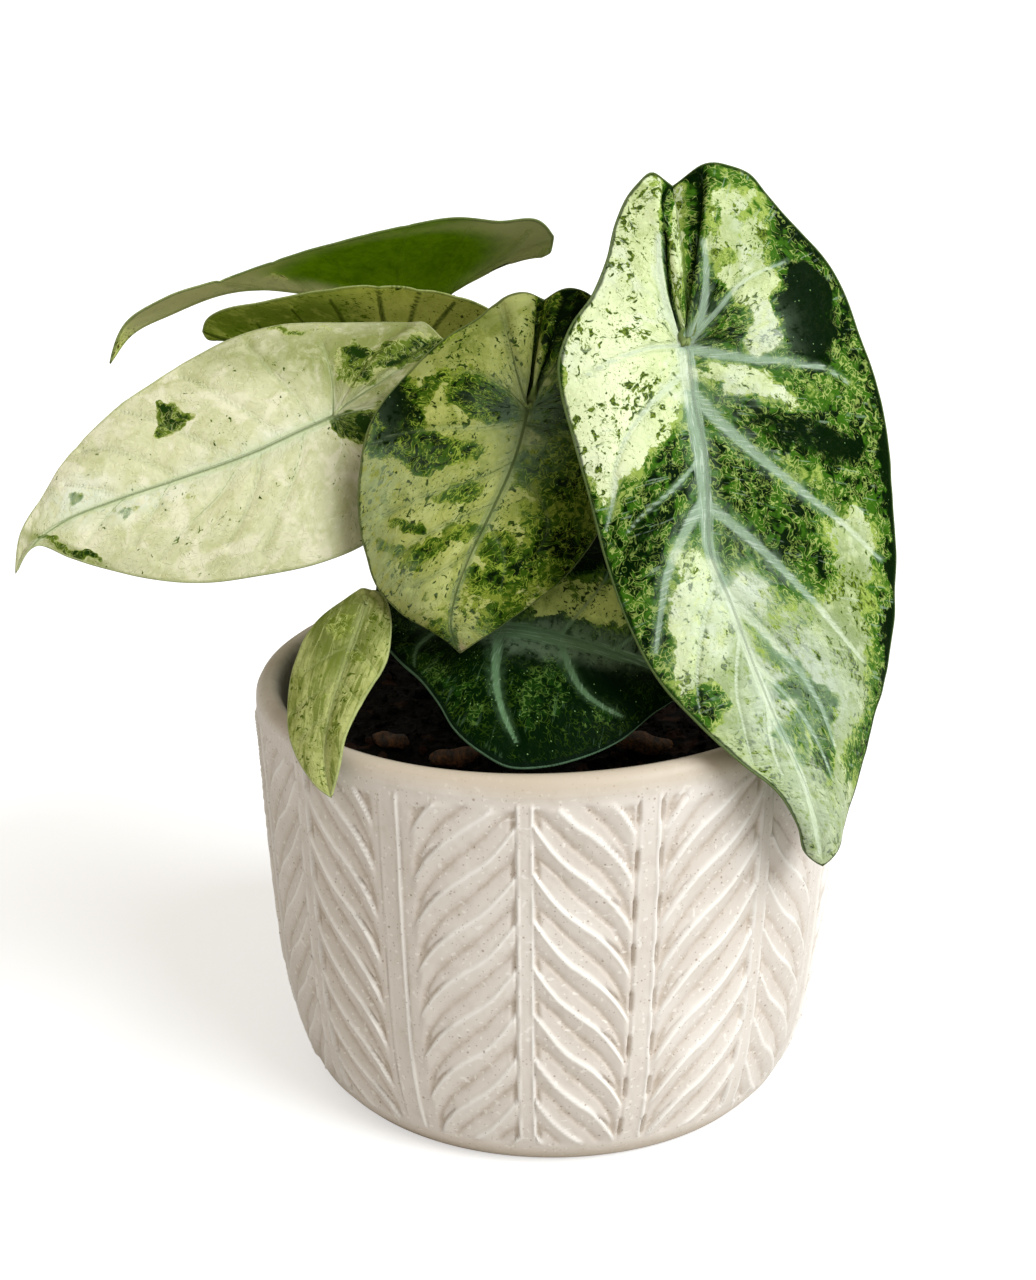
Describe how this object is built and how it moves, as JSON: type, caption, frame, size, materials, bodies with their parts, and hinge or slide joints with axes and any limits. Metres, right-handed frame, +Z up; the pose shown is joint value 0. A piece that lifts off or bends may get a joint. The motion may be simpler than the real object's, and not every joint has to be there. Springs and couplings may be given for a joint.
{
  "type": "potted anthurium",
  "caption": "Variegated broad-leaved house plant in a round ceramic pot with a herringbone leaf relief; stands on its flat base.",
  "frame": {"origin": "centre of the pot's flat base", "axes": "+Z up along the pot axis; the front of the plant faces -Y, the large leaf hangs at +X"},
  "size_m": [0.1783, 0.1555, 0.2035],
  "materials": {
    "ceramic": "semi-matt speckled glaze",
    "soil": "loose damp mix",
    "bark": "rough",
    "corm": "fibrous",
    "stalk": "smooth",
    "leaf_cream": "satin",
    "leaf_green": "satin",
    "leaf_mixed": "satin"
  },
  "bodies": {
    "root": {"pot": "ceramic", "potting_soil": "soil", "corm": "corm", "leaf_large_right": "leaf_mixed", "leaf_centre": "leaf_mixed", "leaf_left": "leaf_cream", "leaf_top_back": "leaf_green", "leaf_second_back": "leaf_mixed", "leaf_low_centre": "leaf_green", "leaf_small_left": "leaf_cream", "stem_large_right": "stalk", "stem_centre": "stalk", "stem_left": "stalk", "stem_top_back": "stalk", "stem_second_back": "stalk", "stem_low_centre": "stalk", "stem_small_left": "stalk", "bark_chip_1": "bark", "bark_chip_2": "bark", "bark_chip_3": "bark", "bark_chip_4": "bark", "bark_chip_5": "bark", "bark_chip_6": "bark", "bark_chip_7": "bark", "bark_chip_8": "bark"}
  },
  "joints": []
}
